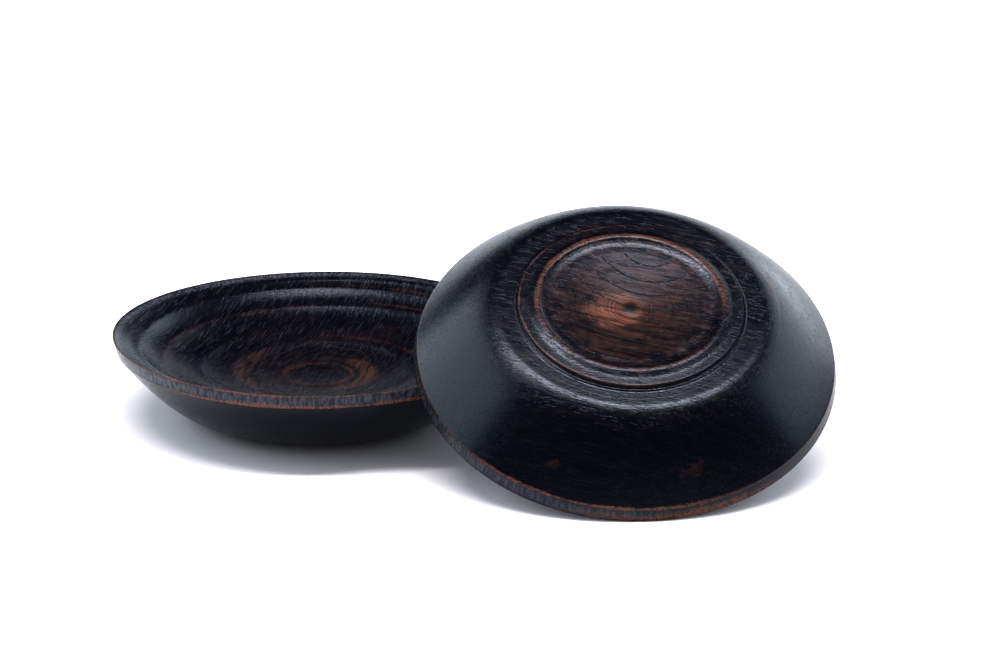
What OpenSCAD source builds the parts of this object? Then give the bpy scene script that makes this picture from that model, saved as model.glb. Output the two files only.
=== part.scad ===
// Turned wooden go stone bowl with its loose lid.
// The two are the same shallow dish, each turned from one piece of wood.
// The bowl stands on its ring, and the lid leans mouth down on the bowl's rim.
// Millimetres, +Z up, origin on the surface at the middle of the pair's footprint.

/* [Dish] */
// Diameter over the upper edge of the rim
dish_d = 130; // [110:1:150]
// Height from the standing ring to the rim
dish_h = 27; // [25:0.5:29]
// Depth of the inside, from the rim to the middle of the floor
dish_depth = 15; // [12:0.5:17]
// How steeply the inside curves up: higher is a flatter floor
bowl_power = 2.8; // [2.4:0.1:3.2]

/* [Rim] */
// Height of the band around the rim
band_h = 4.2; // [3:0.1:5]
// How far the band's lower edge stands in from its upper edge
band_undercut = 0.9; // [0:0.1:1.2]

/* [Foot] */
// Diameter of the standing ring, at the middle of its flat land
ring_d = 57; // [54:0.5:60]
// Width of the flat land that the dish stands on
land_w = 1.2; // [0.8:0.1:1.8]
// Diameter of the raised disc that carries the ring
disc_d = 68.2; // [66:0.1:70]
// Height of the step at the disc's edge
step_h = 1.4; // [1:0.1:1.8]
// Depth of the hollow in the middle of the foot
hollow_depth = 3.2; // [2:0.1:4]
// Diameter of the shoulder where the underside turns up into the skirt
shoulder_d = 83.6; // [80:0.2:84]

/* [Turning marks] */
// Depth of the scoops inside, as a share of their width
scoop = 0.06; // [0.02:0.01:0.08]
// Depth of the groove inside the standing ring
groove_depth = 1.1; // [0.6:0.1:1.4]

/* [Leaning lid] */
// How far the lid leans from level, in degrees
lean = 27.9; // [27:0.1:29]
// Direction in which the lid slopes down, in degrees from +X
lean_dir = -84.3; // [-88:0.1:-80]
// Place on the bowl's rim that the lid leans over, in degrees from +X
touch_at = -60; // [-64:0.5:-56]
// Gap left between the two rims where they cross
rest_gap = 0.35; // [0.25:0.05:1]

/* [Hidden] */
$fn = 96;
near_black = [0.10, 0.085, 0.085];
worn_black = [0.15, 0.11, 0.10];

rim_r = dish_d / 2;
ring_r = ring_d / 2;
disc_r = disc_d / 2;
shoulder_r = shoulder_d / 2;
floor_z = dish_h - dish_depth;

// Radii of the crests between the scoops, as shares of the rim's radius
crests = [0.16, 0.30, 0.43, 0.57, 0.77, 0.88, 0.945];
ring_crest_h = 0.5;
arc_steps = 6;

// Underside, from the disc's edge to the skirt
disc_edge_z = 1.1;
step_lean = 0.2;
tool_groove_w = 1.1;
tool_groove_h = 0.3;
annulus_z = disc_edge_z + step_h;
shoulder_z = annulus_z + 0.2;
shoulder_round = 4;
skirt_in = [0.51, 0.34];
skirt_steps = 14;

// Foot hollow, as places between the middle and the ring
pip_r = 3.6;
pip_h = 0.4;
inner_ridge_r = 0.79 * ring_r;
inner_ridge_z = 0.5;

// Points after p along a circular arc to q that bulges by sag to the left
function arc_points(p, q, sag, n = arc_steps) =
    let (chord = norm(q - p),
         along = (q - p) / chord,
         across = [-along.y, along.x] * sign(sag),
         rise = abs(sag),
         r = (chord * chord / 4 + rise * rise) / (2 * rise),
         half = 2 * atan(2 * rise / chord))
    [for (i = [1:n])
        let (t = half * (2 * i / n - 1))
        (p + q) / 2 + along * r * sin(t) + across * (rise - r * (1 - cos(t)))];

// Points after p along a curve to q that leaves p and reaches q aimed at m
function curve_points(p, m, q, n) =
    [for (i = [1:n])
        let (t = i / n)
        p * (1 - t) * (1 - t) + m * 2 * t * (1 - t) + q * t * t];

function toward(p, q, d) = p + (q - p) / norm(q - p) * d;

// Height of the inside at radius r, along the crests
function inside_z(r) = floor_z + dish_depth * pow(r / rim_r, bowl_power);

rim_top = [rim_r, dish_h];
rim_low = [rim_r - band_undercut, dish_h - band_h];

// Inside, from the middle of the floor out to the rim
crest_points = concat(
    [for (k = crests) [k * rim_r, inside_z(k * rim_r) + ring_crest_h]],
    [rim_top]);
inside = concat(
    [[0, floor_z]],
    arc_points([0, floor_z], crest_points[0], -scoop * crest_points[0].x),
    [for (i = [1:len(crest_points) - 1])
        let (a = crest_points[i - 1], b = crest_points[i])
        each arc_points(a, b, -scoop * norm(b - a))]);

// Outside, from the rim in to the middle of the foot
shoulder = [shoulder_r, shoulder_z];
skirt_mid = [shoulder_r + skirt_in.x * (rim_low.x - shoulder_r),
             shoulder_z + skirt_in.y * (rim_low.y - shoulder_z)];
skirt_end = toward(shoulder, skirt_mid, shoulder_round);
annulus_out = toward(shoulder, [disc_r, annulus_z], shoulder_round);
step_foot = [disc_r + step_lean, annulus_z];
groove_out = [step_foot.x + tool_groove_w, annulus_z];
disc_edge = [disc_r, disc_edge_z];
land_out = [ring_r + land_w / 2, 0];
land_in = [ring_r - land_w / 2, 0];
inner_ridge = [inner_ridge_r, inner_ridge_z];
pip_edge = [pip_r, hollow_depth];
pip_top = [0, hollow_depth - pip_h];
outside = concat(
    [rim_low],
    curve_points(rim_low, skirt_mid, skirt_end, skirt_steps),
    curve_points(skirt_end, shoulder, annulus_out, arc_steps),
    [groove_out],
    arc_points(groove_out, step_foot, tool_groove_h),
    [disc_edge, land_out, land_in],
    arc_points(land_in, inner_ridge, -groove_depth),
    arc_points(inner_ridge, pip_edge, -0.5),
    arc_points(pip_edge, pip_top, pip_h / 4));

// Where the lid lies: the middle of its rim, worked out from the point at
// which its rim crosses the bowl's with rest_gap between them
down = [cos(lean_dir), sin(lean_dir)];
sideways = [down.y, -down.x];
cross_down = rim_r * cos(lean) - (dish_h + rest_gap) / tan(lean);
cross_side = rim_r * sqrt(1 - pow(cross_down / (rim_r * cos(lean)), 2));
lid_mid = rim_r * [cos(touch_at), sin(touch_at)] - cross_down * down - cross_side * sideways;
lid_z = rim_r * sin(lean);

// How far the lid reaches from the bowl's axis, along X (axis 0) or Y (axis 1)
lid_tilt = sin(lean) * down;
function lid_reach(axis, way) =
    max([for (p = concat([rim_top], outside))
        way * (lid_mid[axis] + lid_tilt[axis] * (dish_h - p.y))
        + p.x * sqrt(1 - pow(lid_tilt[axis], 2))]);
function middle(axis) =
    (max(rim_r, lid_reach(axis, 1)) - max(rim_r, lid_reach(axis, -1))) / 2;
bowl_at = [-middle(0), -middle(1), 0];

module dish() {
    rotate_extrude() polygon(concat(inside, outside));
}

module bowl() {
    color(worn_black)
        translate(bowl_at)
            dish();
}

module lid() {
    color(near_black)
        translate(bowl_at + [lid_mid.x, lid_mid.y, lid_z])
            rotate([0, 0, lean_dir])
                rotate([0, lean, 0])
                    rotate([180, 0, 0])
                        translate([0, 0, -dish_h])
                            dish();
}

bowl();
lid();
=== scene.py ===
"""Looks for a turned go stone bowl and its loose lid, laid out as a Blender add-on.

Both are the same shallow dish, turned from one piece of open-grained wood, stained near black and
worn to brown on its edges. The bowl stands on its ring, and the lid lies mouth down, leaning over
the bowl's rim. Sizes below are in millimetres unless a property's unit says otherwise, and the
studio's lights and floor are in metres.
"""

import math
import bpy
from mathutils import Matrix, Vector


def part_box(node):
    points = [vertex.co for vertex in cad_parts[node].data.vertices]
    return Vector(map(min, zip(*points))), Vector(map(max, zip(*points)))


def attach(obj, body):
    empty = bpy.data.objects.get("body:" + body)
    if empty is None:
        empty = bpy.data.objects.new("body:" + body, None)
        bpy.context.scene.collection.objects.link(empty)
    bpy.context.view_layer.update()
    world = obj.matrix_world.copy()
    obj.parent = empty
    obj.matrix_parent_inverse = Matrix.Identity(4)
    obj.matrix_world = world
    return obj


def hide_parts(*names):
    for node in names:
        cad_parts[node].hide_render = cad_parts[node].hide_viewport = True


bl_info = {
    "name": "Turned go stone bowl",
    "version": (1, 0, 0),
    "blender": (4, 5, 0),
    "location": "View3D > Sidebar > Stone bowl",
    "description": "Builds a turned wooden go stone bowl, its leaning lid and a plain studio",
    "category": "Add Mesh",
}

from types import SimpleNamespace
from typing import NamedTuple

import bpy
import numpy as np
from bpy.props import FloatProperty, FloatVectorProperty, PointerProperty
from mathutils import Matrix, Vector

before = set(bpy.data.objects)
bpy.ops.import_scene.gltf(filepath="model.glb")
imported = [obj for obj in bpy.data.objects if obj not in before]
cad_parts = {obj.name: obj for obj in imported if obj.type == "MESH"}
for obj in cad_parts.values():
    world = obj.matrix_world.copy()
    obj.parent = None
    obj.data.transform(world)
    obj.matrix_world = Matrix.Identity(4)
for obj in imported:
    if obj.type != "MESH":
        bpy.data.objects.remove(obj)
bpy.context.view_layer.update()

MM = 0.001

bowl_low, bowl_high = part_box("bowl")
lid_low, lid_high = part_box("lid")
RIM_R = (bowl_high.y - bowl_low.y) / 2 / MM
DISH_H = (bowl_high.z - bowl_low.z) / MM


# ---------------------------------------------------------------- settings


class DishSizes(bpy.types.PropertyGroup):
    """The turned form that the bowl and the lid share, in millimetres."""

    rim_d: FloatProperty(
        name="Rim diameter", description="Over the rim's upper edge", default=2 * RIM_R
    )
    height: FloatProperty(
        name="Height", description="From the standing ring to the rim", default=DISH_H
    )
    depth: FloatProperty(
        name="Depth", description="From the rim to the middle of the floor", default=15.0
    )
    floor_curve: FloatProperty(
        name="Floor curve",
        description="How steeply the inside curves up: higher is a flatter floor",
        default=2.8,
    )
    band_h: FloatProperty(
        name="Rim band", description="Height of the band around the rim", default=4.2
    )
    undercut: FloatProperty(
        name="Band undercut", description="How far the band's lower edge stands in", default=0.9
    )
    ring_r: FloatProperty(
        name="Ring radius", description="Middle of the standing ring's flat land", default=28.5
    )
    land_w: FloatProperty(
        name="Land width", description="Width of the flat land on the standing ring", default=1.2
    )
    disc_r: FloatProperty(
        name="Disc radius", description="Edge of the disc under the dish", default=34.1
    )
    disc_z: FloatProperty(
        name="Disc height", description="Height of the disc's edge over the land", default=1.1
    )
    step_h: FloatProperty(
        name="Step", description="Height of the step at the disc's edge", default=1.4
    )
    shoulder_r: FloatProperty(
        name="Shoulder radius", description="Where the skirt starts", default=42.4
    )
    hollow: FloatProperty(
        name="Foot hollow", description="Depth of the hollow in the foot", default=3.2
    )
    warp: FloatProperty(
        name="Warp", description="How far the rim has moved as the wood dried", default=0.3
    )


class LidPlace(bpy.types.PropertyGroup):
    """How the lid leans."""

    lean: FloatProperty(
        name="Lean",
        description="Angle of the lid's mouth from level",
        default=math.radians(27.9),
        subtype="ANGLE",
    )
    toward: FloatProperty(
        name="Slopes toward",
        description="Direction in which the lid slopes down, from +X",
        default=math.radians(-84.3),
        subtype="ANGLE",
    )


class WoodColours(bpy.types.PropertyGroup):
    """Stain, bare wood and how both shine."""

    stain: FloatVectorProperty(
        name="Stain",
        description="Near-black stain over the wood",
        subtype="COLOR",
        default=(0.0018, 0.0027, 0.0062),
    )
    umber: FloatVectorProperty(
        name="Thin stain",
        description="Dark brown where the stain is thin",
        subtype="COLOR",
        default=(0.022, 0.011, 0.009),
    )
    worn: FloatVectorProperty(
        name="Worn wood",
        description="Brown of the wood where the stain is rubbed away",
        subtype="COLOR",
        default=(0.17, 0.074, 0.043),
    )
    shine: FloatVectorProperty(
        name="Shine",
        description="Tint of the finish's reflections",
        subtype="COLOR",
        default=(0.80, 0.88, 1.0),
    )
    ring_lines: FloatVectorProperty(
        name="Ring lines",
        description="Dark line at the start of each growth ring",
        subtype="COLOR",
        default=(0.0015, 0.0012, 0.0015),
    )
    # Pale filling in the open grain; its light grey also stands in as painted speckled highlights
    flecks_and_glints: FloatVectorProperty(
        name="Flecks",
        description="Pale filling in the open grain",
        subtype="COLOR",
        default=(0.065, 0.069, 0.080),
    )
    ior: FloatProperty(
        name="IOR", description="Refractive index of the finish", default=1.42, min=1.0
    )
    roughness: FloatProperty(
        name="Roughness",
        description="Roughness of the satin finish",
        default=0.25,
        min=0.0,
        max=1.0,
        subtype="FACTOR",
    )


class StudioSettings(bpy.types.PropertyGroup):
    """Camera, lights, floor and view."""

    camera_side: FloatProperty(
        name="Camera side",
        description="How far the camera stands to the right",
        default=0.0098,
        unit="LENGTH",
    )
    camera_back: FloatProperty(
        name="Camera distance",
        description="How far the camera stands in front",
        default=1.1915,
        unit="LENGTH",
    )
    camera_up: FloatProperty(
        name="Camera height", description="Height of the camera", default=0.4144, unit="LENGTH"
    )
    camera_down: FloatProperty(
        name="Camera pitch",
        description="Angle that the camera looks down by",
        default=math.radians(17.8),
        subtype="ANGLE",
    )
    lens: FloatProperty(name="Lens", description="Focal length in millimetres", default=144.0)
    floor: FloatVectorProperty(
        name="Floor", description="Colour of the floor", subtype="COLOR", default=(0.54, 0.54, 0.55)
    )
    daylight: FloatVectorProperty(
        name="Daylight",
        description="Colour of the lights around",
        subtype="COLOR",
        default=(0.88, 0.94, 1.0),
    )
    lamplight: FloatVectorProperty(
        name="Lamplight",
        description="Colour of the light above",
        subtype="COLOR",
        default=(1.0, 0.95, 0.97),
    )
    roomlight: FloatVectorProperty(
        name="Room light",
        description="Colour of the light that the room scatters",
        subtype="COLOR",
        default=(0.93, 0.94, 1.0),
    )
    room: FloatProperty(name="Room", description="How bright the room is", default=0.95, min=0.0)
    top: FloatProperty(
        name="Top light", description="Brightness of the light above", default=36.0, min=0.0
    )
    left: FloatProperty(
        name="Left light", description="Brightness of the light at the left", default=2.5, min=0.0
    )
    right: FloatProperty(
        name="Right light", description="Brightness of the light at the right", default=2.2, min=0.0
    )
    back: FloatProperty(
        name="Back light", description="Brightness of the screen behind", default=1.2, min=0.0
    )
    exposure: FloatProperty(name="Exposure", description="Exposure of the view", default=0.62)
    gamma: FloatProperty(name="Gamma", description="Gamma of the view", default=0.7, min=0.0)


# ---------------------------------------------------------------- the turned form


def arc(start, end, sag, count):
    """Points after start along a circular arc to end, which bulges by sag to the left."""
    start, end = np.array(start, float), np.array(end, float)
    chord = np.linalg.norm(end - start)
    along = (end - start) / chord
    across = np.array([-along[1], along[0]]) * np.sign(sag)
    rise = abs(sag)
    radius = (chord**2 / 4 + rise**2) / (2 * rise)
    half = 2 * math.atan(2 * rise / chord)
    turn = half * (2 * np.arange(1, count + 1) / count - 1)
    middle = (start + end) / 2
    return [
        middle + along * radius * math.sin(t) + across * (rise - radius * (1 - math.cos(t)))
        for t in turn
    ]


def curve(start, aim, end, count):
    """Points after start along a curve to end that leaves and arrives aimed at aim."""
    start, aim, end = (np.array(p, float) for p in (start, aim, end))
    steps = np.arange(1, count + 1) / count
    return [start * (1 - t) ** 2 + aim * 2 * t * (1 - t) + end * t**2 for t in steps]


def toward(start, end, length):
    """The point that lies length away from start, on the way to end."""
    start, end = np.array(start, float), np.array(end, float)
    return start + (end - start) / np.linalg.norm(end - start) * length


def line(start, end, step=0.7):
    """Points after start along a straight line to end."""
    start, end = np.array(start, float), np.array(end, float)
    count = max(1, round(np.linalg.norm(end - start) / step))
    return [start + (end - start) * k / count for k in range(1, count + 1)]


def eased(corners, radius, steps=4, step=0.7):
    """A run of straight lines through the corners, each corner eased by its own radius."""
    points = [np.array(corners[0], float)]
    for k in range(1, len(corners) - 1):
        here = corners[k]
        enter = toward(here, corners[k - 1], radius[k - 1])
        leave = toward(here, corners[k + 1], radius[k - 1])
        points += line(points[-1], enter, step)
        points += curve(enter, here, leave, steps)
    return points + line(points[-1], corners[-1], step)


class Crest(NamedTuple):
    """A crest that the gouge left between two scoops inside."""

    radius: float
    stand: float  # how far it stands up
    inward: float  # how wide it falls away towards the middle
    outward: float  # how wide it falls away towards the rim
    strongest: float  # direction in which it stands highest, in degrees from +X
    fade: float  # share of its height that it loses on the other side


CRESTS = (
    Crest(10.3, 0.30, 4.0, 4.0, 20, 0.30),
    Crest(19.5, 0.22, 5.0, 4.0, 0, 0.60),
    Crest(28.0, 1.25, 4.2, 7.0, 60, 0.70),
    Crest(37.0, 0.80, 5.0, 5.0, 165, 0.85),
    Crest(49.6, 1.15, 5.5, 5.0, 50, 0.75),
    Crest(56.8, 1.30, 6.0, 4.0, 135, 0.80),
    Crest(61.4, 0.55, 4.0, 2.6, 60, 0.95),
)
CREST_WANDER = 0.014  # how far a crest's radius moves around the dish, as a share of it
CREST_WANDER_TURN = 0.9  # radians between where a crest is strongest and where it is widest
CREST_TOP = 0.004  # rounds a crest's top
CREST_END = 0.03  # share of the rim's radius over which crests die out at the rim


def inside_height(sizes, r, theta):
    """Height of the inside at radius r, with the gouge's crests, for every direction theta."""
    share = r / (sizes.rim_d / 2)
    z = sizes.height - sizes.depth * (1 - share**sizes.floor_curve)
    at_rim = np.clip((1 - share) / CREST_END, 0, 1)
    for crest in CRESTS:
        away = theta - math.radians(crest.strongest)
        strength = 1 - crest.fade * (0.5 - 0.5 * np.cos(away))
        off = r - crest.radius * (1 + CREST_WANDER * np.cos(away + CREST_WANDER_TURN))
        reach = np.where(off < 0, crest.inward, crest.outward)
        fall = np.clip(1 - np.sqrt((off / reach) ** 2 + CREST_TOP), 0, 1)
        z = z + crest.stand * strength * fall**2 * at_rim
    return z


def foot_section(sizes):
    """The standing ring's inner side, the groove, the hollow and the small bump in its middle."""
    land_in = (sizes.ring_r - sizes.land_w / 2, 0.0)
    ridge = (0.81 * sizes.ring_r, 1.15)
    bump_r, bump_h = 3.8, 0.24
    groove_sag, hollow_sag = -0.42, -0.12
    groove = arc(land_in, ridge, groove_sag, 14)
    hollow = arc(ridge, (bump_r, sizes.hollow), hollow_sag, 36)
    points = groove[:-4] + curve(groove[-5], ridge, hollow[2], 7) + hollow[3:]
    for r in np.linspace(bump_r * 0.9, 0.05, 9):
        lift = bump_h * (0.5 + 0.5 * math.cos(math.pi * r / bump_r))
        points.append(np.array((r, sizes.hollow - lift)))
    return points


def underside(sizes):
    """The outside in section, from the rim in to the middle of the foot, as (radius, height)."""
    rim_r, height = sizes.rim_d / 2, sizes.height
    rim_top = (rim_r, height)
    rim_low = (rim_r - sizes.undercut, height - sizes.band_h)
    flat_z = sizes.disc_z + sizes.step_h
    belly_share = (0.49, 0.34)  # how far out and up the skirt's curve is aimed
    skirt_round, flat_round = 4.0, 2.2  # how far the shoulder is eased to each side
    step_lean, groove_w, groove_h = 0.25, 1.0, 0.32
    face_w, face_slope = 2.8, 0.15  # where the disc's face meets the ring, and how far it falls

    # The band, with its upper edge eased over inside the rim and its lower edge kept crisp
    inner_lip = toward(rim_top, (rim_r - 4, height - 4.0), 0.5)
    low_corner = toward(rim_low, rim_top, 0.3)
    points = eased([inner_lip, rim_top, low_corner], [0.28], 4, 0.6)

    # The skirt, and the shoulder that turns it in to the flat around the foot
    shoulder = np.array([sizes.shoulder_r, flat_z + 0.2])
    belly = shoulder + (np.array(rim_low) - shoulder) * belly_share
    skirt_start = np.array(rim_low) * 0.985 + belly * 0.015
    skirt_end = toward(shoulder, belly, skirt_round)
    flat_end = toward(shoulder, (sizes.disc_r, flat_z), flat_round)
    points += curve(points[-1], rim_low, skirt_start, 3)
    points += curve(skirt_start, belly, skirt_end, 44)
    points += curve(skirt_end, shoulder, flat_end, 12)

    # The tool groove at the foot of the step
    step_foot = np.array([sizes.disc_r + step_lean, flat_z])
    groove = step_foot + (groove_w, 0.0)
    points += line(flat_end, groove, 0.6)
    points += arc(groove, step_foot, groove_h, 5)

    # The disc's edge and face, and the standing ring's outer side
    land_out = (sizes.ring_r + sizes.land_w / 2, 0.0)
    land_in = (sizes.ring_r - sizes.land_w / 2, 0.0)
    face_in = (sizes.ring_r + face_w, sizes.disc_z - face_slope)
    corners = [step_foot, (sizes.disc_r, sizes.disc_z), face_in, land_out, land_in]
    points += eased(corners, [0.25, 0.6, 0.45], 4, 0.5)[1:]
    return np.array(points + foot_section(sizes))


WARP_TURN = 0.6  # radians by which the warp is turned from +X


def dish_mesh(name, sizes, around=304, inside_rings=140):
    """The whole turned dish as one closed mesh, upright, with its foot on the plane z = 0."""
    theta = np.arange(around) * 2 * math.pi / around
    rim_r = sizes.rim_d / 2
    first_r, last_r = 0.4, rim_r - 0.35
    rings = []
    for r in np.linspace(first_r, last_r, inside_rings):
        rings.append((np.full(around, r), inside_height(sizes, r, theta)))
    for r, z in underside(sizes):
        rings.append((np.full(around, r), np.full(around, z)))
    radius = np.array([r for r, z in rings])
    height = np.array([z for r, z in rings])

    # The rim has moved out of true as the wood dried, and the foot still stands flat
    warp = sizes.warp * (radius / rim_r) ** 2 * np.cos(2 * theta - WARP_TURN)
    height = height + warp * np.clip(height / sizes.height, 0, 1)

    points = np.stack([radius * np.cos(theta), radius * np.sin(theta), height], -1).reshape(-1, 3)
    top = [0, 0, float(height[0].mean())]
    bottom = [0, 0, float(height[-1].mean())]
    points = np.vstack([points, [top], [bottom]]) * MM

    step = np.arange(around)
    after = (step + 1) % around
    ring = np.arange(len(rings) - 1)[:, None] * around
    below = ring + around
    quads = np.stack([ring + step, below + step, below + after, ring + after], -1).reshape(-1, 4)
    last = (len(rings) - 1) * around
    top_at, bottom_at = len(rings) * around, len(rings) * around + 1
    fans = [(int(a), int(b), top_at) for a, b in zip(step, after)]
    fans += [(last + int(b), last + int(a), bottom_at) for a, b in zip(step, after)]

    mesh = bpy.data.meshes.new(name)
    mesh.from_pydata(points.tolist(), [], quads.tolist() + fans)
    mesh.validate()
    mesh.polygons.foreach_set("use_smooth", [True] * len(mesh.polygons))
    mesh.update()
    return mesh


def add_dish(name, body, place, material):
    """One dish as a piece that rides on its body and stands for its CAD node."""
    mesh = dish_mesh(name, bpy.context.scene.dish_sizes)
    mesh.transform(place)
    mesh.materials.append(material)
    piece = bpy.data.objects.new(name, mesh)
    bpy.context.collection.objects.link(piece)
    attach(piece, body)
    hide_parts(body)
    return piece


def bowl_place():
    """The bowl stands upright in the middle of its CAD box."""
    middle = (bowl_low + bowl_high) / 2
    return Matrix.Translation((middle.x, middle.y, bowl_low.z))


def lid_place(sizes, place):
    """The lid lies mouth down, with its rim's lowest point on the floor, inside its CAD box."""
    rim_r = sizes.rim_d / 2 * MM
    x = (lid_low.x + lid_high.x) / 2
    y = lid_high.y - rim_r * math.sqrt(1 - (math.sin(place.lean) * math.sin(place.toward)) ** 2)
    upside_down = Matrix.Rotation(math.pi, 4, "X")
    turn = Matrix.Rotation(place.toward, 4, "Z") @ Matrix.Rotation(place.lean, 4, "Y") @ upside_down
    raised = Matrix.Translation((x, y, rim_r * math.sin(place.lean)))
    return raised @ turn @ Matrix.Translation((0, 0, -sizes.height * MM))


# ---------------------------------------------------------------- shader building blocks


class Nodes:
    """Short calls for the nodes that the finishes are made of."""

    def __init__(self, tree):
        self.tree = tree

    def node(self, kind, **settings):
        made = self.tree.nodes.new(kind)
        for key, value in settings.items():
            setattr(made, key, value)
        return made

    def feed(self, socket, value):
        if isinstance(value, bpy.types.NodeSocket):
            self.tree.links.new(value, socket)
        else:
            socket.default_value = value

    def math(self, operation, a, b=0.5, c=0.5, clamp=False):
        made = self.node("ShaderNodeMath", operation=operation, use_clamp=clamp)
        for socket, value in zip(made.inputs, (a, b, c)):
            self.feed(socket, value)
        return made.outputs[0]

    def vector(self, operation, a, b=(0, 0, 0)):
        made = self.node("ShaderNodeVectorMath", operation=operation)
        self.feed(made.inputs[0], a)
        if operation != "LENGTH":
            self.feed(made.inputs[1], b)
        return made.outputs["Value" if operation in ("LENGTH", "DOT_PRODUCT") else "Vector"]

    def join(self, x, y, z):
        made = self.node("ShaderNodeCombineXYZ")
        for socket, value in zip(made.inputs, (x, y, z)):
            self.feed(socket, value)
        return made.outputs[0]

    def split(self, vector):
        made = self.node("ShaderNodeSeparateXYZ")
        self.feed(made.inputs[0], vector)
        return made.outputs

    def noise(self, at, scale=1.0, detail=2.0, roughness=0.5, dimensions="3D"):
        made = self.node("ShaderNodeTexNoise", noise_dimensions=dimensions)
        if dimensions == "1D":
            self.feed(made.inputs["W"], at)
        else:
            self.feed(made.inputs["Vector"], at)
        self.feed(made.inputs["Scale"], scale)
        self.feed(made.inputs["Detail"], detail)
        self.feed(made.inputs["Roughness"], roughness)
        return made.outputs["Fac"]

    def ease(self, value, low, high, out_low=0.0, out_high=1.0):
        """Goes smoothly from out_low to out_high as value goes from low to high."""
        made = self.node("ShaderNodeMapRange", interpolation_type="SMOOTHSTEP")
        for socket, fed in zip(made.inputs, (value, low, high, out_low, out_high)):
            self.feed(socket, fed)
        return made.outputs[0]

    def blend(self, factor, a, b):
        made = self.node("ShaderNodeMix", data_type="RGBA")
        self.feed(made.inputs["Factor"], factor)
        self.feed(made.inputs["A"], a)
        self.feed(made.inputs["B"], b)
        return made.outputs["Result"]

    def group(self, tree, **values):
        made = self.node("ShaderNodeGroup", node_tree=tree)
        for key, value in values.items():
            self.feed(made.inputs[key.replace("_", " ")], value)
        return made.outputs


def new_group(name, inputs, outputs):
    """An empty shader node group with named sockets, and its input and output ends."""
    tree = bpy.data.node_groups.new(name, "ShaderNodeTree")
    for label, kind, default in inputs:
        socket = tree.interface.new_socket(label, in_out="INPUT", socket_type=kind)
        socket.default_value = default
    for label, kind in outputs:
        tree.interface.new_socket(label, in_out="OUTPUT", socket_type=kind)
    nodes = Nodes(tree)
    return nodes, nodes.node("NodeGroupInput").outputs, nodes.node("NodeGroupOutput").inputs


FLOAT, VECTOR = "NodeSocketFloat", "NodeSocketVector"


def radius_of(n, place):
    """Distance from the dish's axis, and the height, from a place in the dish."""
    x, y, z = n.split(place)
    return n.math("SQRT", n.math("ADD", n.math("MULTIPLY", x, x), n.math("MULTIPLY", y, y))), z


def grain_group():
    """Growth rings and open pores of ring-porous wood. The grain runs along the turned X."""
    n, given, out = new_group(
        "Open grain",
        [
            ("Place", VECTOR, (0, 0, 0)),
            ("Grain Turn", FLOAT, 0.0),
            ("Fibre Scale", VECTOR, (0.3, 3.0, 3.0)),
            ("Heart Across", FLOAT, 0.0),
            ("Heart Below", FLOAT, 40.0),
            ("End Curve", FLOAT, 0.0),
            ("Ring Width", FLOAT, 2.0),
            ("Waviness", FLOAT, 1.5),
        ],
        [("Ring Lines", FLOAT), ("Pores", FLOAT), ("Fibres", FLOAT), ("Streaks", FLOAT)],
    )
    turned = n.node("ShaderNodeVectorRotate", rotation_type="Z_AXIS")
    n.feed(turned.inputs["Vector"], given["Place"])
    n.feed(turned.inputs["Angle"], given["Grain Turn"])
    wood = turned.outputs[0]
    along, across, up = n.split(wood)

    # Distance from the tree's heart, which the growth rings follow
    slow = n.noise(n.vector("MULTIPLY", wood, (0.03, 0.09, 0.09)), detail=3.0)
    drift = n.math("MULTIPLY", n.math("SUBTRACT", slow, 0.5), given["Waviness"])
    side = n.math("SUBTRACT", across, given["Heart Across"])
    rise = n.math("ADD", up, given["Heart Below"])
    end = n.math("MULTIPLY", along, given["End Curve"])
    reach = n.math("ADD", drift, n.vector("LENGTH", n.join(side, rise, end)))
    turn = n.math("FRACT", n.math("DIVIDE", reach, given["Ring Width"]))

    # A thin line where each ring starts, broken up along its length
    inward = n.math("MULTIPLY", turn, given["Ring Width"])
    thin = n.math("MULTIPLY", n.ease(inward, 0.0, 0.08), n.ease(inward, 0.26, 0.44, 1.0, 0.0))
    beads = n.noise(n.vector("MULTIPLY", wood, (0.55, 1.1, 1.1)), detail=1.0)
    n.feed(out["Ring Lines"], n.math("MULTIPLY", thin, n.ease(beads, 0.32, 0.44)))

    # Pores lie along the grain, and are closest in the early part of each ring
    early = n.ease(turn, 0.05, 0.5, 1.0, 0.0)
    fine = n.noise(n.vector("MULTIPLY", wood, given["Fibre Scale"]), detail=2.0, roughness=0.65)
    n.feed(out["Fibres"], fine)
    n.feed(out["Pores"], n.ease(n.math("ADD", fine, n.math("MULTIPLY", early, 0.05)), 0.58, 0.68))
    broad = n.noise(n.vector("MULTIPLY", wood, (0.06, 0.6, 0.6)), detail=3.0, roughness=0.6)
    n.feed(out["Streaks"], broad)
    return n.tree


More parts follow.
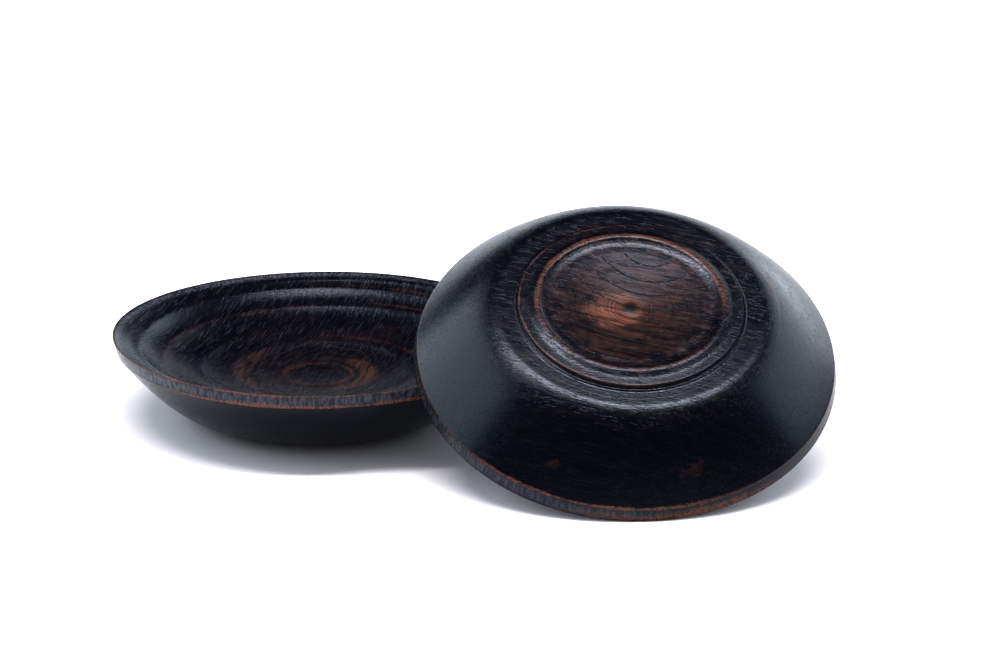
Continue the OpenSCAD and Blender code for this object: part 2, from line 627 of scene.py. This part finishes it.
def edge_group():
    """Wear along a turned edge of the given radius and height, which breaks up around the dish."""
    n, given, out = new_group(
        "Worn edge",
        [
            ("Place", VECTOR, (0, 0, 0)),
            ("Edge Radius", FLOAT, 65.0),
            ("Edge Height", FLOAT, 27.0),
            ("Width", FLOAT, 0.6),
            ("Break Up", FLOAT, 0.5),
            ("Toward", VECTOR, (1, 0, 0)),
            ("Arc", FLOAT, -2.0),
            ("Strength", FLOAT, 1.0),
        ],
        [("Wear", FLOAT)],
    )
    radius, z = radius_of(n, given["Place"])
    across = n.math("SUBTRACT", radius, given["Edge Radius"])
    above = n.math("SUBTRACT", z, given["Edge Height"])
    distance = n.vector("LENGTH", n.join(across, above, 0.0))
    nicks = n.noise(given["Place"], scale=0.9, detail=3.0, roughness=0.7)
    drift = n.noise(given["Place"], scale=0.09, detail=2.0)
    uneven = n.math("SUBTRACT", n.math("ADD", nicks, drift), 1.0)
    loss = n.math("MULTIPLY", n.math("MULTIPLY", uneven, given["Break Up"]), 3.0)
    away = n.math("DIVIDE", n.math("ADD", distance, loss), given["Width"])
    facing = n.vector("DOT_PRODUCT", given["Place"], given["Toward"])
    facing = n.math("DIVIDE", facing, n.math("MAXIMUM", radius, 0.1))
    turned = n.math("SUBTRACT", facing, given["Arc"])
    near = n.math("MULTIPLY", n.ease(away, 0.35, 1.0, 1.0, 0.0), n.ease(turned, -0.2, 0.2))
    n.feed(out["Wear"], n.math("MULTIPLY", near, given["Strength"]))
    return n.tree


def patch_group():
    """A rubbed patch around one spot, with its own spread each way and a torn edge."""
    n, given, out = new_group(
        "Rubbed patch",
        [
            ("Place", VECTOR, (0, 0, 0)),
            ("Spot", VECTOR, (0, 0, 0)),
            ("Spread", VECTOR, (10, 10, 10)),
            ("Tear", FLOAT, 0.6),
            ("Strength", FLOAT, 1.0),
        ],
        [("Patch", FLOAT)],
    )
    off = n.vector("DIVIDE", n.vector("SUBTRACT", given["Place"], given["Spot"]), given["Spread"])
    torn = n.noise(given["Place"], scale=0.22, detail=4.0, roughness=0.62)
    tear = n.math("MULTIPLY", n.math("SUBTRACT", torn, 0.5), n.math("MULTIPLY", given["Tear"], 4.0))
    patch = n.ease(n.math("ADD", n.vector("LENGTH", off), tear), 0.35, 1.15, 1.0, 0.0)
    n.feed(out["Patch"], n.math("MULTIPLY", patch, given["Strength"]))
    return n.tree


def tool_group():
    """Fine rings that the turning tool left around the dish's axis."""
    n, given, out = new_group(
        "Turning lines",
        [("Place", VECTOR, (0, 0, 0)), ("Spacing", FLOAT, 0.6)],
        [("Lines", FLOAT)],
    )
    radius, z = radius_of(n, given["Place"])
    where = n.math("DIVIDE", n.math("ADD", radius, n.math("MULTIPLY", z, 0.7)), given["Spacing"])
    n.feed(out["Lines"], n.noise(where, scale=1.0, detail=3.0, roughness=0.7, dimensions="1D"))
    return n.tree


def shared_groups():
    """The effects that both finishes use, made once."""
    makers = {
        "Open grain": grain_group,
        "Worn edge": edge_group,
        "Rubbed patch": patch_group,
        "Turning lines": tool_group,
    }
    for name, make in makers.items():
        if name not in bpy.data.node_groups:
            make()
    return {name: bpy.data.node_groups[name] for name in makers}


def strongest(n, masks):
    """The greatest of some masks."""
    most = masks[0]
    for mask in masks[1:]:
        most = n.math("MAXIMUM", most, mask)
    return most


def dish_coordinates(n, place):
    """Place in the upright dish, in millimetres from its foot's middle, wherever the dish lies."""
    mapping = n.node("ShaderNodeMapping", vector_type="TEXTURE")
    n.feed(mapping.inputs["Vector"], n.node("ShaderNodeTexCoord").outputs["Object"])
    mapping.inputs["Location"].default_value = place.to_translation()
    mapping.inputs["Rotation"].default_value = place.to_euler("XYZ")
    mapping.inputs["Scale"].default_value = (MM, MM, MM)
    return mapping.outputs[0]


class Finish(NamedTuple):
    """What differs between the two finishes. A pair holds an inner and an outer radius, or an
    amount on the outside and one on the inside."""

    ring_lines: tuple  # radii over which the growth-ring lines fade out
    middle: tuple  # radii over which rubbed patches set in around the dish's middle
    thin: tuple  # how far the stain is thinned, outside and inside
    flecks_and_glints: tuple  # how far pale filling, partly a painted speckled highlight, shows in the grain, outside and inside
    fibres: float  # relief of the fibres, in millimetres
    specks: float  # relief of the fine specks
    pores: float  # relief of the open pores
    calm: float = 1.0  # share of the grain and relief that is left on the skirt and in the hollow
    polish: float = 0.0  # how far the outside is rougher, or smoother where negative


SKIRT_START = (43.0, 52.0)  # radii over which the calmer skirt sets in
HOLLOW_END = (21.0, 25.0)  # radii over which the calmer foot hollow ends
TOOL_SPACING = 0.55  # between the lines that the turning tool left
TOOL_RELIEF = 0.04  # height of those lines
WALL_LOW, WALL_RISE = 9.0, 16.0  # height of the wall's middle at the axis, and its rise to the rim
WALL_BLEND = 0.8  # how far to each side of the wall's middle the two sides blend


def inside_mask(n, radius, height):
    """0 on the outside and 1 on the inside, changing over within the wall's thickness."""
    share = n.math("POWER", n.math("DIVIDE", radius, RIM_R), 3.0)
    above = n.math("SUBTRACT", height, n.math("MULTIPLY_ADD", share, WALL_RISE, WALL_LOW))
    return n.ease(above, -WALL_BLEND, WALL_BLEND)


def by_side(n, inside, amounts):
    """Goes from the amount on the outside to the amount on the inside."""
    outer, inner = amounts
    return n.math("MULTIPLY_ADD", inside, inner - outer, outer)


def wood_masks(n, place, grain, edges, patches, band_dust_and_sheen_edge, finish):
    """Where the grain, the wear and the dust of one dish show, the dust on the band also being a
    painted reflection.
    """
    groups = shared_groups()
    spot = dish_coordinates(n, place)
    radius, height = radius_of(n, spot)
    wood = n.group(groups["Open grain"], Place=spot, **grain)
    lines = n.group(groups["Turning lines"], Place=spot, Spacing=TOOL_SPACING)["Lines"]
    uneven = n.math("MULTIPLY_ADD", n.math("SUBTRACT", lines, 0.5), 0.5, wood["Streaks"])
    line_fade = n.ease(radius, *finish.ring_lines, 1.0, 0.0)
    ring_lines = n.math("MULTIPLY", wood["Ring Lines"], line_fade)

    worn = [n.group(groups["Worn edge"], Place=spot, **edge)["Wear"] for edge in edges]
    rubbed = [n.group(groups["Rubbed patch"], Place=spot, **patch)["Patch"] for patch in patches]
    rub = n.math("MULTIPLY", strongest(n, rubbed), n.ease(radius, *finish.middle, 0.12, 1.0))
    patchy = n.math("MULTIPLY", rub, n.ease(uneven, 0.22, 0.80))
    broken = n.ease(wood["Fibres"], 0.37, 0.52, 0.12, 1.0)
    bare = n.math("MAXIMUM", patchy, n.math("MULTIPLY", strongest(n, worn), broken))
    dark = n.math("MAXIMUM", n.math("MULTIPLY", wood["Pores"], 0.7), ring_lines)
    bare = n.math("MULTIPLY", bare, n.math("SUBTRACT", 1.0, n.math("MULTIPLY", dark, 0.85)))

    # End grain on the band holds dust in short upright dashes, and their pale colour also paints
    # the band's reflection lighter
    dashes = n.noise(n.vector("MULTIPLY", spot, (1.1, 1.1, 0.12)), detail=2.0, roughness=0.6)
    dust_and_sheen = n.group(groups["Worn edge"], Place=spot, **band_dust_and_sheen_edge)["Wear"]
    dust_and_sheen = n.math("MULTIPLY", dust_and_sheen, n.ease(dashes, 0.42, 0.58, 0.25, 1.0))
    return SimpleNamespace(
        spot=spot,
        inside=inside_mask(n, radius, height),
        fibres=wood["Fibres"],
        pores=wood["Pores"],
        streaks=wood["Streaks"],
        lines=lines,
        uneven=uneven,
        ring_lines=ring_lines,
        rub=rub,
        bare=bare,
        dark=dark,
        dust_and_sheen=dust_and_sheen,
        skirt=n.ease(radius, *SKIRT_START, 1.0, finish.calm),
        hollow=n.ease(radius, *HOLLOW_END, finish.calm, 1.0),
    )


def wood_colour(n, masks, colours, finish):
    """Stain, thinned in streaks, then pale flecks that are partly painted speckled highlights, and
    dust that partly paints a reflection on the band, then bare wood, then ring lines.
    """
    thinned = by_side(n, masks.inside, finish.thin)
    thin = n.math("MULTIPLY", n.ease(masks.uneven, 0.42, 0.72), thinned)
    thin = n.math("MAXIMUM", n.math("MULTIPLY", thin, masks.skirt), masks.rub)
    colour = n.blend(thin, (*colours.stain, 1), (*colours.umber, 1))
    # Pale flecks in the grain are partly painted speckled highlights, and the pale dust on the band
    # partly paints its reflection
    fleck_and_glint_amount = n.math("MULTIPLY", masks.skirt, by_side(n, masks.inside, finish.flecks_and_glints))
    flecks_and_glints = n.math("MULTIPLY", n.ease(masks.fibres, 0.52, 0.72), fleck_and_glint_amount)
    colour = n.blend(n.math("MAXIMUM", flecks_and_glints, masks.dust_and_sheen), colour, (*colours.flecks_and_glints, 1))
    colour = n.blend(masks.bare, colour, (*colours.worn, 1))
    return n.blend(n.math("MULTIPLY", masks.ring_lines, 0.9), colour, (*colours.ring_lines, 1))


def wood_roughness(n, masks, colours, finish):
    """Satin, duller in streaks, where the wood is bare, in the pores and in the ring lines."""
    dull = n.math("MULTIPLY_ADD", n.math("SUBTRACT", masks.streaks, 0.5), 0.18, colours.roughness)
    dull = n.math("MULTIPLY_ADD", masks.bare, 0.16, dull)
    dull = n.math("MULTIPLY_ADD", masks.dark, 0.14, dull)
    dull = n.math("MULTIPLY_ADD", masks.ring_lines, 0.4, dull)
    return n.math("ADD", dull, by_side(n, masks.inside, (finish.polish, 0.0)), clamp=True)


def wood_relief(n, masks, finish):
    """Height of the surface's fine relief, in millimetres."""
    speck = n.noise(masks.spot, scale=2.4, detail=2.0, roughness=0.7)
    ripple = n.noise(masks.spot, scale=0.35, detail=2.0)
    relief = n.math("MULTIPLY", masks.pores, finish.pores)
    relief = n.math("MULTIPLY_ADD", masks.fibres, finish.fibres, relief)
    relief = n.math("MULTIPLY_ADD", speck, finish.specks, relief)
    relief = n.math("MULTIPLY_ADD", masks.lines, TOOL_RELIEF, relief)
    relief = n.math("MULTIPLY", relief, n.math("MULTIPLY", masks.skirt, masks.hollow))
    for mask, depth in (
        (masks.ring_lines, -0.04),
        (masks.streaks, 0.02),
        (ripple, 0.03),
        (masks.dust_and_sheen, 0.05),
    ):
        relief = n.math("MULTIPLY_ADD", mask, depth, relief)
    return relief


def stained_wood(name, place, grain, edges, patches, band_dust_and_sheen_edge, finish):
    """Near-black stained wood with its grain, worn edges and rubbed patches."""
    colours = bpy.context.scene.wood_colours
    material = bpy.data.materials.new(name)
    material.use_nodes = True
    material.node_tree.nodes.clear()
    n = Nodes(material.node_tree)
    shader = n.node("ShaderNodeBsdfPrincipled")
    n.feed(n.node("ShaderNodeOutputMaterial").inputs["Surface"], shader.outputs[0])
    masks = wood_masks(n, place, grain, edges, patches, band_dust_and_sheen_edge, finish)
    n.feed(shader.inputs["Base Color"], wood_colour(n, masks, colours, finish))
    n.feed(shader.inputs["Roughness"], wood_roughness(n, masks, colours, finish))
    shader.inputs["IOR"].default_value = colours.ior
    shader.inputs["Specular Tint"].default_value = (*colours.shine, 1)
    bump = n.node("ShaderNodeBump")
    bump.inputs["Strength"].default_value = 1.0
    bump.inputs["Distance"].default_value = MM
    n.feed(bump.inputs["Height"], wood_relief(n, masks, finish))
    n.feed(shader.inputs["Normal"], bump.outputs[0])
    return material


def aim(degrees):
    """Unit vector in the dish's plane, in that direction from its +X."""
    return (math.cos(math.radians(degrees)), math.sin(math.radians(degrees)), 0.0)


def edge(r, z, width, broken, toward_degrees=0.0, arc_cosine=-2.0, strength=1.0):
    """Values for one worn edge, at radius r and height z.

    Where arc_cosine is over -1, only an arc around toward_degrees is worn, as far to each side as
    the angle whose cosine it is.
    """
    return dict(
        Edge_Radius=r,
        Edge_Height=z,
        Width=width,
        Break_Up=broken,
        Toward=aim(toward_degrees),
        Arc=arc_cosine,
        Strength=strength,
    )


def inner_edge(sizes, r, width, broken, toward_degrees, arc_cosine, strength=1.0):
    """Values for one worn arc on the inside, at that radius."""
    z = float(inside_height(sizes, r, np.array(math.radians(toward_degrees))))
    return edge(r, z, width, broken, toward_degrees, arc_cosine, strength)


# ---------------------------------------------------------------- operators


class STONEBOWL_OT_bowl(bpy.types.Operator):
    """Builds the upright bowl"""

    bl_idname = "stonebowl.bowl"
    bl_label = "Bowl"

    def execute(self, context):
        sizes = context.scene.dish_sizes
        rim_r, top = sizes.rim_d / 2, sizes.height
        low_r, low = rim_r - sizes.undercut, top - sizes.band_h
        edges = [
            edge(rim_r, top, 0.95, 0.45, -60, 0.2),
            edge(rim_r, top, 0.50, 0.40, 90, -0.9, 0.35),
            edge(low_r, low, 0.85, 0.50, -55, 0.25),
            edge(sizes.ring_r, 0.0, 1.0, 0.5),
            inner_edge(sizes, 10.8, 1.0, 0.9, 0, -2.0, 0.22),
            inner_edge(sizes, 16.2, 3.6, 1.3, -5, 0.45, 0.30),
            inner_edge(sizes, 24.5, 4.0, 1.5, 180, 0.65, 0.16),
            inner_edge(sizes, 49.0, 0.6, 1.0, 150, 0.35, 0.11),
            inner_edge(sizes, 52.0, 0.7, 1.1, 40, 0.80, 0.17),
            inner_edge(sizes, 58.8, 0.6, 1.1, 50, 0.80, 0.13),
            inner_edge(sizes, 33.0, 1.2, 1.3, 40, 0.75, 0.13),
        ]
        patches = [
            dict(Spot=(5.0, 30.0, 14.0), Spread=(34.0, 9.0, 8.0), Tear=0.7, Strength=0.05),
            dict(Spot=(0.0, 0.0, 12.5), Spread=(30.0, 30.0, 6.0), Tear=0.6, Strength=0.06),
        ]
        grain = dict(
            Grain_Turn=math.radians(-73),
            Fibre_Scale=(0.14, 2.0, 0.35),
            Heart_Across=0.0,
            Heart_Below=-12.0,
            End_Curve=0.6,
            Ring_Width=2.5,
            Waviness=6.0,
        )
        # Pale dust dashes on the band, which also paint a lighter reflection on it
        band_dust_and_sheen_edge = edge((rim_r + low_r) / 2, (top + low) / 2, 2.4, 0.2)
        finish = Finish(
            ring_lines=(26.0, 34.0),
            middle=(7.5, 10.0),
            thin=(0.0, 0.22),
            flecks_and_glints=(0.0, 0.22),
            fibres=0.10,
            specks=0.04,
            pores=-0.05,
            polish=-0.13,
        )
        place = bowl_place()
        wood = stained_wood("bowl_wood", place, grain, edges, patches, band_dust_and_sheen_edge, finish)
        add_dish("turned_bowl", "bowl", place, wood)
        return {"FINISHED"}


class STONEBOWL_OT_lid(bpy.types.Operator):
    """Builds the leaning lid"""

    bl_idname = "stonebowl.lid"
    bl_label = "Lid"

    def execute(self, context):
        sizes = context.scene.dish_sizes
        rim_r, top = sizes.rim_d / 2, sizes.height
        low_r, low = rim_r - sizes.undercut, top - sizes.band_h
        edges = [
            edge(rim_r, top, 3.0, 1.1, -8, 0.94, 1.0),
            edge(low_r, low, 0.40, 0.20, 0, -2.0, 0.32),
            edge(low_r, low, 0.70, 0.40, 15, 0.85, 0.8),
            edge(sizes.ring_r, 0.0, 1.3, 0.70, 180, -0.1, 0.40),
            edge(sizes.ring_r, 0.0, 0.9, 0.60, 60, -0.2, 0.22),
            edge(sizes.disc_r, sizes.disc_z, 0.6, 0.5, 90, -0.3, 0.35),
            edge(45.5, 4.6, 0.5, 0.5, -110, 0.85, 0.4),
        ]
        patches = [
            dict(Spot=(1.0, 5.0, 3.0), Spread=(9.5, 12.5, 6.0), Tear=0.30, Strength=0.85),
            dict(Spot=(0.0, 0.0, 2.0), Spread=(28.0, 28.0, 6.0), Tear=0.5, Strength=0.26),
            dict(Spot=(56.0, -14.0, 16.0), Spread=(1.8, 4.2, 4.0), Tear=1.6, Strength=0.13),
            dict(Spot=(51.0, 29.0, 14.0), Spread=(1.2, 3.0, 4.0), Tear=1.2, Strength=0.13),
        ]
        grain = dict(
            Grain_Turn=math.radians(-110),
            Fibre_Scale=(0.15, 1.7, 2.0),
            Heart_Across=26.0,
            Heart_Below=-8.0,
            End_Curve=0.8,
            Ring_Width=5.0,
            Waviness=3.0,
        )
        # Pale dust dashes on the band, which also paint a lighter reflection on it
        band_dust_and_sheen_edge = edge((rim_r + low_r) / 2, (top + low) / 2, 2.2, 0.2, 80, 0.1, 0.5)
        finish = Finish(
            ring_lines=(21.0, 23.0),
            middle=(1.0, 3.6),
            thin=(0.25, 0.4),
            flecks_and_glints=(0.0, 0.0),
            fibres=0.075,
            specks=0.03,
            pores=-0.04,
            calm=0.30,
        )
        place = lid_place(sizes, context.scene.lid_place)
        wood = stained_wood("lid_wood", place, grain, edges, patches, band_dust_and_sheen_edge, finish)
        add_dish("turned_lid", "lid", place, wood)
        return {"FINISHED"}


class SoftBox(NamedTuple):
    """A rectangular light that faces the middle of the pair. Angles are in degrees from +X and
    from level, and lengths in metres."""

    azimuth: float
    elevation: float
    distance: float
    width: float
    height: float


SOFT_BOXES = {
    "top_softbox": SoftBox(-90, 82, 1.1, 1.25, 0.13),
    "left_softbox": SoftBox(170, 28, 1.3, 1.6, 0.9),
    "right_softbox": SoftBox(29, 24, 1.4, 2.0, 0.8),
    "back_screen": SoftBox(90, 7, 2.6, 6.0, 0.64),
}
AIMED_AT = Vector((0, 0, 0.02))
FLOOR_HALF = 6.0


def area_light(name, brightness, colour):
    """Sets up the soft box of that name with that radiance."""
    box = SOFT_BOXES[name]
    a, e = math.radians(box.azimuth), math.radians(box.elevation)
    away = Vector((math.cos(a) * math.cos(e), math.sin(a) * math.cos(e), math.sin(e)))
    light = bpy.data.lights.new(name, "AREA")
    light.shape = "RECTANGLE"
    light.size, light.size_y = box.width, box.height
    light.energy = brightness * math.pi * box.width * box.height
    light.color = colour
    lamp = bpy.data.objects.new(name, light)
    lamp.location = AIMED_AT + away * box.distance
    lamp.rotation_euler = (math.pi / 2 - e, 0, a + math.pi / 2)
    lamp.visible_camera = False
    bpy.context.collection.objects.link(lamp)


class STONEBOWL_OT_studio(bpy.types.Operator):
    """Builds the floor, the lights and the camera"""

    bl_idname = "stonebowl.studio"
    bl_label = "Studio"

    def execute(self, context):
        settings = context.scene.studio
        self.floor(settings)
        self.lights(settings)
        self.room(context.scene, settings)
        self.camera(context.scene, settings)
        return {"FINISHED"}

    def floor(self, settings):
        signs = ((-1, -1), (1, -1), (1, 1), (-1, 1))
        corners = [(x * FLOOR_HALF, y * FLOOR_HALF, 0) for x, y in signs]
        mesh = bpy.data.meshes.new("floor")
        mesh.from_pydata(corners, [], [(0, 1, 2, 3)])
        floor = bpy.data.objects.new("floor", mesh)
        bpy.context.collection.objects.link(floor)
        material = bpy.data.materials.new("matt_white")
        material.use_nodes = True
        shader = material.node_tree.nodes["Principled BSDF"]
        shader.inputs["Base Color"].default_value = (*settings.floor, 1)
        shader.inputs["Roughness"].default_value = 0.9
        shader.inputs["Specular IOR Level"].default_value = 0.2
        mesh.materials.append(material)

    def lights(self, settings):
        area_light("top_softbox", settings.top, settings.lamplight)
        area_light("left_softbox", settings.left, settings.daylight)
        area_light("right_softbox", settings.right, settings.daylight)
        area_light("back_screen", settings.back, settings.daylight)

    def room(self, scene, settings):
        world = bpy.data.worlds.new("room")
        world.use_nodes = True
        back = world.node_tree.nodes["Background"]
        back.inputs["Color"].default_value = (*settings.roomlight, 1)
        back.inputs["Strength"].default_value = settings.room
        world.cycles_visibility.glossy = False
        scene.world = world
        scene.view_settings.view_transform = "Standard"
        scene.view_settings.exposure = settings.exposure
        scene.view_settings.gamma = settings.gamma

    def camera(self, scene, settings):
        lens = bpy.data.cameras.new("camera")
        lens.lens = settings.lens
        lens.sensor_width = 36.0
        lens.clip_end = 50.0
        camera = bpy.data.objects.new("camera", lens)
        camera.location = (settings.camera_side, -settings.camera_back, settings.camera_up)
        camera.rotation_euler = (math.pi / 2 - settings.camera_down, 0, 0)
        bpy.context.collection.objects.link(camera)
        scene.camera = camera


class STONEBOWL_PT_panel(bpy.types.Panel):
    """Lists the pieces and their settings in the sidebar"""

    bl_idname = "STONEBOWL_PT_panel"
    bl_label = "Stone bowl"
    bl_space_type = "VIEW_3D"
    bl_region_type = "UI"
    bl_category = "Stone bowl"

    def draw(self, context):
        for operator in OPERATORS:
            self.layout.operator(operator.bl_idname)
        for group in (name for name, kind in SETTINGS):
            settings = getattr(context.scene, group)
            box = self.layout.box()
            for key in settings.bl_rna.properties.keys():
                if key not in ("rna_type", "name"):
                    box.prop(settings, key)


OPERATORS = (STONEBOWL_OT_bowl, STONEBOWL_OT_lid, STONEBOWL_OT_studio)
SETTINGS = (
    ("dish_sizes", DishSizes),
    ("lid_place", LidPlace),
    ("wood_colours", WoodColours),
    ("studio", StudioSettings),
)


def register():
    for name, kind in SETTINGS:
        bpy.utils.register_class(kind)
        setattr(bpy.types.Scene, name, PointerProperty(type=kind))
    for kind in (*OPERATORS, STONEBOWL_PT_panel):
        bpy.utils.register_class(kind)


def unregister():
    for kind in reversed((*OPERATORS, STONEBOWL_PT_panel)):
        bpy.utils.unregister_class(kind)
    for name, kind in reversed(SETTINGS):
        delattr(bpy.types.Scene, name)
        bpy.utils.unregister_class(kind)


def main():
    register()
    bpy.ops.stonebowl.bowl()
    bpy.ops.stonebowl.lid()
    bpy.ops.stonebowl.studio()


if __name__ == "__main__":
    main()
